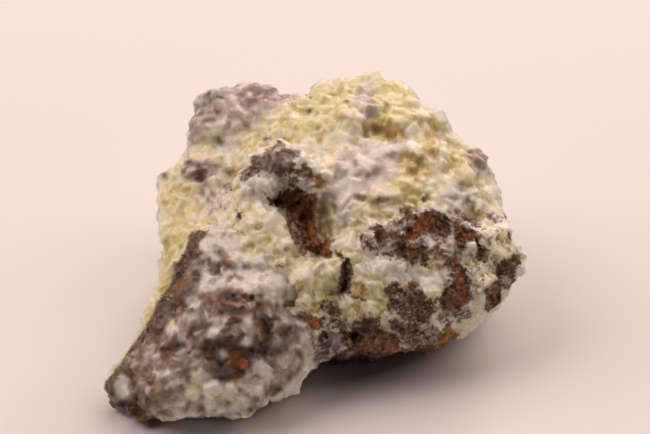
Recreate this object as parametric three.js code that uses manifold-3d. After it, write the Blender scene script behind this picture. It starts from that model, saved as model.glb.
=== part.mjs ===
// A loose hand specimen of granular fluorite: lobed, broken-faced, with blocky crystals and a rusty pocket.
// Millimetres, +Z up. The stone lies on its flat underside; its long nose points to -X and -Y.
import * as THREE from "three";
import { ConvexHull } from "three/addons/math/ConvexHull.js";
import { ImprovedNoise } from "three/addons/math/ImprovedNoise.js";
import { mergeVertices } from "three/addons/utils/BufferGeometryUtils.js";
import Module from "manifold-3d";

const wasm = await Module();
wasm.setup();

// Blocks grow together into the stone. Each fills the flat faces between its corners.
const BLOCKS = {
  nose: [
    [-22, -2, 24], [-25.5, -6.5, 20], [-30.5, -11, 14], [-38, -19, 4.5], [-20.5, -14, 21.5],
    [-13, -20, 20.5], [-4.5, -16, 18], [-1, -15, 9], [-4.5, -20, 7.5], [-14, -26, 6.5], [-21.5, -26.5, 6.5],
    [-28.5, -25, 8.5], [-31, -24.5, 2.5], [-37.5, -20.5, 2], [-34, -9, 6], [-30, -5.5, 15.5], [-36, -17, 0],
    [-31, -21.5, 0], [-15, -20, 0],
    [-5, -13, 0], [-28, -4, 0], [-14, 4, 4],
  ],
  slope: [
    [-14.5, 2, 28.5], [-22, -1.5, 24], [-25.5, -6.5, 20], [-21, -13.5, 20.5], [-11, -12, 22.5],
    [-4.5, -6.5, 22.5], [-2, -6, 22.5], [-7, 0.5, 28.5], [-13, 3.5, 31],
    [-24, -4, 6], [-4, -8, 6], [-20, -14, 8], [-4, 2, 8], [-20, 2, 8],
  ],
  gusset: [
    [-5, -9, 22.5], [2.5, -6, 22], [4, -10, 17.5], [4, -13.5, 10.5], [-4.5, -12.5, 20], [-1.5, -15, 15],
    [-1, -15.5, 9], [-6, 0, 10], [6, 0, 10], [-4, -8, 2], [3, -6, 3],
  ],
  pocket_floor: [
    [-9, 4, 25.5], [4, 5, 26], [4, -4, 18.5], [-6, -3, 20.5], [-9, 4, 8], [4, 5, 8], [4, -6, 8], [-6, -6, 8],
  ],
  crest: [
    [-19, -1, 25.5], [-15, 2.5, 30], [-14, 9, 34], [-11, 10, 37], [-7.5, 11, 37.5], [-4, 10, 36],
    [-1, 7, 33.5], [-1.5, 3.5, 31], [-6, 1.5, 30], [-12, -3.5, 25.5],
    [-16, 12, 20], [-2, 12, 20], [-4, -2, 12], [-18, 0, 12],
  ],
  top: [
    [-1.5, 30, 35.5], [3.5, 31.5, 36.5], [8.5, 32, 37], [13.5, 31, 36], [17.5, 27.5, 35.5], [19, 23, 34.5],
    [21.5, 20.5, 33], [-4.5, 23, 34.5], [-5, 14, 32.5], [1, 15, 34], [17, 16, 34], [21.5, 14, 31.5],
    [-4, 32, 18], [17, 32, 18], [20, 14, 14], [-4, 12, 14],
  ],
  terrace: [
    [-1, 12, 33], [15, 13, 33], [20.5, 8, 30], [1, 3, 30], [13, 1.5, 28.5], [2.5, -5, 23], [20, 0.5, 28],
    [25.5, 6.5, 27], [28, 11, 27.5], [0, 12, 14], [26, 12, 14], [24, 0, 14], [2, -4, 14],
  ],
  ledge: [
    [9, 13, 33.5], [11, 11, 32.5], [17, 11.5, 33], [18, 14, 33.5], [10, 8, 28], [18, 8, 28], [10, 16, 26], [18, 16, 26],
  ],
  front: [
    [3.5, -4, 25.5], [12.5, 0.5, 28.5], [20, 0.5, 28.5], [27, 1, 26.5], [33.5, 1.5, 21.5], [35, -1, 18.5],
    [34, -4, 16.5], [30.5, -6.5, 14.5], [27, -9.5, 13], [21.5, -12.5, 10.5], [13, -14, 9],
    [3.5, -14.5, 9], [1.5, -12.5, 15], [9.5, -10, 19.5], [20, -9, 19.5],
    [6, -5, 0], [22, 0, 0], [28, 6, 4], [28, 12, 0], [0, 0, 0], [10, 12, 0],
  ],
  shoulder: [
    [22, 20, 31], [24.5, 20, 30], [27, 19.5, 29], [28.5, 18.5, 28], [28.5, 16, 26.5], [28.5, 12.5, 25], [30.5, 9, 23.5],
    [32.5, 6, 22.5], [34, 2, 20.5], [20.5, 9, 29.5], [21, 20, 32],
    [22, 22, 8], [28, 18, 6], [31, 4, 8], [14, 6, 8], [14, 22, 8],
  ],
  left_peak: [
    [-24, 27.5, 31.5], [-23, 30, 33], [-20.5, 31, 34], [-17.5, 31, 33.5], [-24.5, 25, 29],
    [-20, 21, 30.5], [-17, 24, 31.5], [-24, 31, 14], [-14, 33, 14], [-25, 22, 14], [-14, 20, 14],
  ],
  middle_peak: [
    [-15, 31.5, 34.5], [-12.5, 32.5, 35.5], [-10, 31.5, 34.5], [-8, 30, 33.5], [-15.5, 24, 32.5], [-11, 22, 32.5],
    [-7, 24, 32.5], [-18, 31, 33], [-16, 33, 14], [-6, 33, 14], [-16, 20, 14], [-6, 20, 14],
  ],
  flank: [
    [-24.5, 25, 28.5], [-25.5, 21.5, 26], [-27.5, 19, 24.5], [-29.5, 16.5, 23], [-30.5, 12.5, 20.5],
    [-30, 8, 18.5], [-28.5, 3.5, 16], [-28.5, -1, 13.5], [-20, -1, 22], [-16, 6, 25], [-20, 18, 28.5],
    [-27, 22, 4], [-28, 4, 3], [-24, 24, 0], [-24, 2, 0], [-8, 4, 4], [-8, 24, 4],
  ],
  saddle: [
    [-10, 29.5, 33.5], [-4, 29.5, 34], [-4.5, 21, 33.5], [-13.5, 16.5, 31], [-18, 20, 29.5], [-8, 8, 31],
    [-18, 28, 14], [-4, 30, 14], [-18, 10, 14], [-4, 10, 14],
  ],
  back: [
    [-22, 30, 4], [-20, 34, 18], [-4, 35, 26], [16, 35, 22], [22, 32, 6], [24, 22, 3], [-24, 20, 4],
    [-18, 24, 0], [18, 26, 0], [0, 20, 30],
  ],
  core: [
    [-20, 0, 0], [20, 2, 0], [-22, 24, 0], [22, 26, 0], [-5, -10, 0], [-16, 2, 20], [0, 4, 24], [16, 2, 22],
    [20, 18, 24], [0, 26, 28], [-20, 24, 22],
  ],
};
const BLOCK_BLEND = 2.5; // how far two blocks run into each other
const SWELL = 0.3; // how far the surface stands out from the blocks

// Grooves and pits are round-bottomed: a line, and the radius at its two ends.
const GROOVES = [
  { name: "pocket", from: [-6.5, 3, 30], to: [-0.5, -4.5, 24], radius: [3.8, 2.8] },
  { name: "pocket_ear", from: [-10.5, 2.5, 30.5], to: [-6, 2.5, 29.5], radius: [1.2, 2] },
  { name: "crevice", from: [1.5, -6, 22.5], to: [4, -13.5, 13], radius: [1.2, 1.4] },
  { name: "hollow", from: [8, 15.5, 33.5], to: [15, 17, 34], radius: [1.8, 2] },
  { name: "flank_valley", from: [-15, 19, 33], to: [-23.5, 4, 24.5], radius: [2.5, 2.5] },
];
const CUT_BLEND = 1.2;

// The broken surface swells and dips, and breaks into flat facets that lean and step against each other.
const SWELLING = { pitch: 10, depth: 0.8 };
const FACETS = { pitch: 5.5, lean: 0.24, step: 0.5 };

// Cleavage blocks stand in the surface.
const CRYSTALS = {
  count: 66, size: [3, 5.2], rise: 0.5, most: 1.3, tilt: 0.6, apart: 4.5, clear: 1, lowest: 3, seed: 12,
};

const CELL = 2.35; // the size of the grid on which the surface is drawn
const GRID_LOW = [-46, -40, -9];
const GRID_HIGH = [46, 48, 48];
const EVENING_PASSES = 3;

const perlin = new ImprovedNoise();

function seeded(seed) {
  let state = seed;
  return () => {
    state = (state * 1664525 + 1013904223) % 4294967296;
    return state / 4294967296;
  };
}

// Each block's faces, as planes facing out.
const blockPlanes = Object.values(BLOCKS).map((corners) => {
  const hull = new ConvexHull().setFromPoints(corners.map((corner) => new THREE.Vector3(...corner)));
  return hull.faces.map(({ normal, constant }) => ({ normal, constant }));
});
const grooveLines = GROOVES.map(({ from, to, radius }) => ({
  line: new THREE.Line3(new THREE.Vector3(...from), new THREE.Vector3(...to)), radius }));

function depthInBlock(planes, p) {
  let depth = -Infinity;
  for (const { normal, constant } of planes) depth = Math.max(depth, normal.dot(p) - constant);
  return depth;
}
const nearest = new THREE.Vector3();
function depthInGroove({ line, radius }, p) {
  const along = line.closestPointToPointParameter(p, true);
  return line.at(along, nearest).distanceTo(p) - THREE.MathUtils.lerp(...radius, along);
}
const smoothMin = (a, b, k) => {
  const h = Math.max(k - Math.abs(a - b), 0) / k;
  return Math.min(a, b) - (h * h * k) / 4;
};
const smoothMax = (a, b, k) => -smoothMin(-a, -b, k);

// A facet belongs to each cell of a jittered lattice: its middle, the way it leans and its step.
const facetCells = new Map();
function facetCell(x, y, z) {
  const key = (x * 512 + y) * 512 + z;
  if (!facetCells.has(key)) {
    const random = seeded(Math.abs(key * 7919 + 13));
    for (let i = 0; i < 4; i++) random();
    const spread = () => random() - 0.5;
    facetCells.set(key, {
      middle: new THREE.Vector3(x + spread(), y + spread(), z + spread()).multiplyScalar(FACETS.pitch),
      lean: new THREE.Vector3(spread(), spread(), spread()).normalize().multiplyScalar(FACETS.lean),
      step: FACETS.step * spread(),
    });
  }
  return facetCells.get(key);
}

function facetAt(p) {
  const [x, y, z] = p.toArray().map((c) => Math.round(c / FACETS.pitch));
  let best = null;
  let least = Infinity;
  for (let i = -1; i <= 1; i++)
    for (let j = -1; j <= 1; j++)
      for (let k = -1; k <= 1; k++) {
        const cell = facetCell(x + i, y + j, z + k);
        const away = cell.middle.distanceToSquared(p);
        if (away < least) [least, best] = [away, cell];
      }
  return best.lean.dot(nearest.subVectors(p, best.middle)) + best.step;
}

// Signed distance to the stone's surface, roughly: below 0 inside it.
function stoneField(p) {
  let d = Infinity;
  for (const planes of blockPlanes) d = smoothMin(d, depthInBlock(planes, p) - SWELL, BLOCK_BLEND);
  for (const groove of grooveLines) d = smoothMax(d, -depthInGroove(groove, p), CUT_BLEND);
  const { pitch, depth } = SWELLING;
  return d + depth * perlin.noise(p.x / pitch, p.y / pitch, p.z / pitch) + facetAt(p);
}

const bare = (geometry) => {
  for (const name of ["normal", "uv"]) geometry.deleteAttribute(name);
  return mergeVertices(geometry);
};

function fieldSlope(p) {
  const step = 0.05;
  const at = (x, y, z) => stoneField(new THREE.Vector3(p.x + x, p.y + y, p.z + z));
  return new THREE.Vector3(
    at(step, 0, 0) - at(-step, 0, 0), at(0, step, 0) - at(0, -step, 0), at(0, 0, step) - at(0, 0, -step),
  ).divideScalar(2 * step);
}

// Moves p onto the surface along the slope of the field, by less than a cell.
function settle(p) {
  const slope = fieldSlope(p);
  const move = stoneField(p) / Math.max(slope.lengthSq(), 0.5);
  return p.addScaledVector(slope, -THREE.MathUtils.clamp(move, -CELL / 3, CELL / 3));
}

// The field's zero surface as a closed mesh: a vertex in each grid cell that the surface crosses,
// and two triangles across each grid edge that it crosses.
function drawnSurface() {
  const count = GRID_LOW.map((low, i) => Math.ceil((GRID_HIGH[i] - low) / CELL) + 1);
  const stride = [1, count[0], count[0] * count[1]];
  const pointOf = (n) => new THREE.Vector3(
    GRID_LOW[0] + CELL * (n % count[0]),
    GRID_LOW[1] + CELL * (Math.floor(n / count[0]) % count[1]),
    GRID_LOW[2] + CELL * Math.floor(n / stride[2]));
  const total = stride[2] * count[2];
  const inside = new Float32Array(total);
  for (let n = 0; n < total; n++) inside[n] = -stoneField(pointOf(n));
  fillPinches(inside, stride, total);

  const AXES = [0, 1, 2];
  const corners = [0, 1, 2, 3, 4, 5, 6, 7].map((c) => AXES.reduce((sum, i) => sum + ((c >> i) & 1) * stride[i], 0));
  const points = [];
  const vertexOf = new Map();
  for (let n = 0; n + corners[7] < total; n++) {
    const crossings = [];
    for (let c = 0; c < 8; c++)
      for (const i of AXES) {
        if ((c >> i) & 1) continue;
        const [from, to] = [n + corners[c], n + corners[c] + stride[i]];
        if (inside[from] > 0 === inside[to] > 0) continue;
        const share = inside[from] / (inside[from] - inside[to]);
        crossings.push(pointOf(from).lerp(pointOf(to), share));
      }
    if (!crossings.length) continue;
    const mean = crossings.reduce((sum, p) => sum.add(p), new THREE.Vector3()).divideScalar(crossings.length);
    vertexOf.set(n, points.push(mean) - 1);
  }
  const triangles = [];
  for (let n = 0; n < total; n++)
    for (const i of AXES) {
      if (inside[n] > 0 === inside[n + stride[i]] > 0 || n + stride[i] >= total) continue;
      const [j, k] = [stride[(i + 1) % 3], stride[(i + 2) % 3]];
      const quad = [n - j - k, n - k, n, n - j].map((cell) => vertexOf.get(cell));
      if (inside[n] <= 0) quad.reverse();
      triangles.push(quad[0], quad[1], quad[2], quad[0], quad[2], quad[3]);
    }
  evenOut(points, triangles);
  return new THREE.BufferGeometry().setFromPoints(points).setIndex(triangles);
}

// Where two corners of a grid square are inside the stone and lie across from each other, the surface
// would touch itself, so such a square is filled.
function fillPinches(inside, stride, total) {
  for (let changed = true; changed; ) {
    changed = false;
    for (let n = 0; n < total; n++)
      for (const [j, k] of [[0, 1], [1, 2], [2, 0]]) {
        const square = [n, n + stride[j], n + stride[j] + stride[k], n + stride[k]];
        const full = square.map((s) => inside[s] > 0);
        if (full[0] !== full[2] || full[1] !== full[3] || full[0] === full[1]) continue;
        for (const s of square) inside[s] = Math.max(inside[s], 0.05);
        changed = true;
      }
  }
}

// Draws each vertex towards its neighbours and back onto the surface, so that the triangles are even.
function evenOut(points, triangles) {
  const neighbours = points.map(() => new Set());
  for (let t = 0; t < triangles.length; t += 3)
    for (let i = 0; i < 3; i++) neighbours[triangles[t + i]].add(triangles[t + ((i + 1) % 3)]);
  for (let pass = 0; pass < EVENING_PASSES; pass++) {
    const means = points.map((p, i) => {
      const mean = new THREE.Vector3();
      for (const n of neighbours[i]) mean.add(points[n]);
      return mean.divideScalar(neighbours[i].size);
    });
    points.forEach((p, i) => settle(p.lerp(means[i], 0.4)));
  }
}

function solidOf(geometry) {
  return new wasm.Manifold(new wasm.Mesh({
    numProp: 3,
    vertProperties: new Float32Array(geometry.getAttribute("position").array),
    triVerts: new Uint32Array(geometry.index.array),
  }));
}

function geometryOf(solid) {
  const mesh = solid.getMesh();
  return new THREE.BufferGeometry()
    .setAttribute("position", new THREE.BufferAttribute(mesh.vertProperties, 3))
    .setIndex(new THREE.BufferAttribute(mesh.triVerts, 1));
}

function flatFloor(solid) {
  const size = 200;
  const below = bare(new THREE.BoxGeometry(size, size, size)).translate(0, 0, -size / 2);
  return solid.subtract(solidOf(below));
}

// A cleavage block set in the surface at a point, nearly square to it.
function crystalAt(at, random) {
  const size = () => THREE.MathUtils.lerp(...CRYSTALS.size, random());
  const tilt = () => CRYSTALS.tilt * (random() - 0.5);
  const out = fieldSlope(at).normalize();
  const height = size();
  return bare(new THREE.BoxGeometry(size(), size(), height))
    .rotateZ(2 * Math.PI * random())
    .rotateX(tilt())
    .rotateY(tilt())
    .applyQuaternion(new THREE.Quaternion().setFromUnitVectors(new THREE.Vector3(0, 0, 1), out))
    .translate(...at.clone().addScaledVector(out, CRYSTALS.rise - height / 2).toArray());
}

const pointsOf = (attribute) => Array.from({ length: attribute.count }, (_, i) =>
  new THREE.Vector3().fromBufferAttribute(attribute, i));

function withCrystals(surface) {
  const random = seeded(CRYSTALS.seed);
  const spots = pointsOf(surface.getAttribute("position")).filter((p) => p.z > CRYSTALS.lowest
    && grooveLines.every((groove) => depthInGroove(groove, p) > CRYSTALS.clear));
  const taken = [];
  let solid = solidOf(surface);
  while (taken.length < CRYSTALS.count) {
    const at = spots[Math.floor(random() * spots.length)];
    if (taken.some((other) => other.distanceTo(at) < CRYSTALS.apart)) continue;
    const crystal = crystalAt(at, random);
    if (pointsOf(crystal.getAttribute("position")).some((p) => stoneField(p) > CRYSTALS.most)) continue;
    solid = solid.add(solidOf(crystal));
    taken.push(at);
  }
  return solid;
}

const stone = geometryOf(flatFloor(withCrystals(drawnSurface())));
stone.computeBoundingBox();
const middle = stone.boundingBox.getCenter(new THREE.Vector3());
stone.translate(-middle.x, -middle.y, 0);
stone.computeVertexNormals();
const material = new THREE.MeshStandardMaterial({ color: 0xd9cfa4, roughness: 0.6, metalness: 0 });
const mesh = new THREE.Mesh(stone, material);
mesh.name = "fluorite_stone";

const specimen = new THREE.Group();
specimen.add(mesh);
export default specimen;
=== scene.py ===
"""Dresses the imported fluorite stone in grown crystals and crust, coloured as the photograph shows it."""

import math

import bpy
import numpy as np
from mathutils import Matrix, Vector
from mathutils.bvhtree import BVHTree
from mathutils.kdtree import KDTree


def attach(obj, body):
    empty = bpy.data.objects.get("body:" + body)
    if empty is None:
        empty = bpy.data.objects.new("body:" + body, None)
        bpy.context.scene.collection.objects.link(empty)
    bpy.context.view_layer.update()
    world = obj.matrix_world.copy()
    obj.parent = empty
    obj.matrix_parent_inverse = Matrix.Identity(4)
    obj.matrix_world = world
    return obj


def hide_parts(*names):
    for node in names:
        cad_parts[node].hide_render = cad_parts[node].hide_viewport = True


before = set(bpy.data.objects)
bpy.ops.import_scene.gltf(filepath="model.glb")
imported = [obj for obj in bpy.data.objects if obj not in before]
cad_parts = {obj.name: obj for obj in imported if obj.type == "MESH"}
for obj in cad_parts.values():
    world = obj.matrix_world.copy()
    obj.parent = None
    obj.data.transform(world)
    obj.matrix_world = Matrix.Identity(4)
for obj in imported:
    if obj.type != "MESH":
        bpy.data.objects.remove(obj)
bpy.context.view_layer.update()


MM = 0.001

# ---------------------------------------------------------------- camera

PHOTO_WIDTH, PHOTO_HEIGHT = 650, 434
DISTANCE = 0.430
FIELD = 0.114  # width of what the camera sees at its target
ELEVATION = math.radians(38)
TARGET = Vector((0.00189, -0.00437, 0.028))
BACK = Vector((0, -math.cos(ELEVATION), math.sin(ELEVATION)))  # from the target to the camera
RIGHT = Vector((1, 0, 0))
UP = BACK.cross(RIGHT)
EYE = TARGET + BACK * DISTANCE
PIXEL = FIELD / PHOTO_WIDTH
TO_EYE = np.array(BACK)
SENSOR = 36  # millimetres
NEAREST = 0.01
OWN_SURFACE = 0.6 * MM  # a ray that stops this near to a point has stopped at the point's own surface


def add_camera():
    camera = bpy.data.objects.new("camera", bpy.data.cameras.new("camera"))
    bpy.context.scene.collection.objects.link(camera)
    camera.location = EYE
    camera.rotation_euler = BACK.to_track_quat("Z", "Y").to_euler()
    camera.data.sensor_width = SENSOR
    camera.data.lens = SENSOR * DISTANCE / FIELD
    camera.data.clip_start = NEAREST
    bpy.context.scene.camera = camera


def ray_through(px, py):
    """The ray from the eye through a pixel of the picture."""
    across = (px - PHOTO_WIDTH / 2) * PIXEL
    upward = (PHOTO_HEIGHT / 2 - py) * PIXEL
    return (TARGET + RIGHT * across + UP * upward - EYE).normalized()


def pixels_of(points):
    """Where the picture shows each point, in pixels."""
    off = points - np.array(EYE)
    deep = -(off @ TO_EYE)
    across = off @ np.array(RIGHT) / deep * DISTANCE / PIXEL
    upward = off @ np.array(UP) / deep * DISTANCE / PIXEL
    return np.stack([PHOTO_WIDTH / 2 + across, PHOTO_HEIGHT / 2 - upward], axis=1)


def seen_by_camera(tree, points):
    """Whether nothing but the surface itself is between each point and the camera."""
    seen = np.zeros(len(points), bool)
    for i, point in enumerate(points):
        way = Vector(point) - EYE
        far = way.length
        hit = tree.ray_cast(EYE, way / far, far)
        seen[i] = hit[0] is None or hit[3] > far - OWN_SURFACE
    return seen


# ---------------------------------------------------------------- numbers

rng = np.random.default_rng(7)


def smooth_step(x):
    x = np.clip(x, 0, 1)
    return x * x * (3 - 2 * x)


def hashed(ix, iy, iz, seed):
    """A repeatable number from 0 to 1 for each point of a lattice."""
    n = (ix * 73856093) ^ (iy * 19349663) ^ (iz * 83492791) ^ (seed * 2654435761)
    n = (n ^ (n >> 13)) * 1274126177
    n = (n ^ (n >> 16)) & 0xFFFFFF
    return n / float(0xFFFFFF)


def noise(points, scale, seed):
    """Smooth noise from -1 to 1; scale is the size of its swells in metres."""
    q = points / scale + 1000.0
    cell = np.floor(q).astype(np.int64)
    f = smooth_step(q - cell)
    total = np.zeros(len(points))
    for corner in range(8):
        step = np.array([corner & 1, corner >> 1 & 1, corner >> 2])
        share = np.where(step, f, 1 - f).prod(axis=1)
        total += share * hashed(*(cell + step).T, seed)
    return total * 2 - 1


def layered(points, scale, seed):
    """Noise with finer noise on it."""
    return (
        0.55 * noise(points, scale, seed)
        + 0.3 * noise(points, scale / 2.1, seed + 1)
        + 0.15 * noise(points, scale / 4.3, seed + 2)
    )


def own_share(grain, seed):
    """A number from 0 to 1 for each grain, another one for each seed."""
    return (grain * (1013.7 + 97.3 * seed) + 0.37 * seed) % 1


# ---------------------------------------------------------------- what shows where

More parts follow.
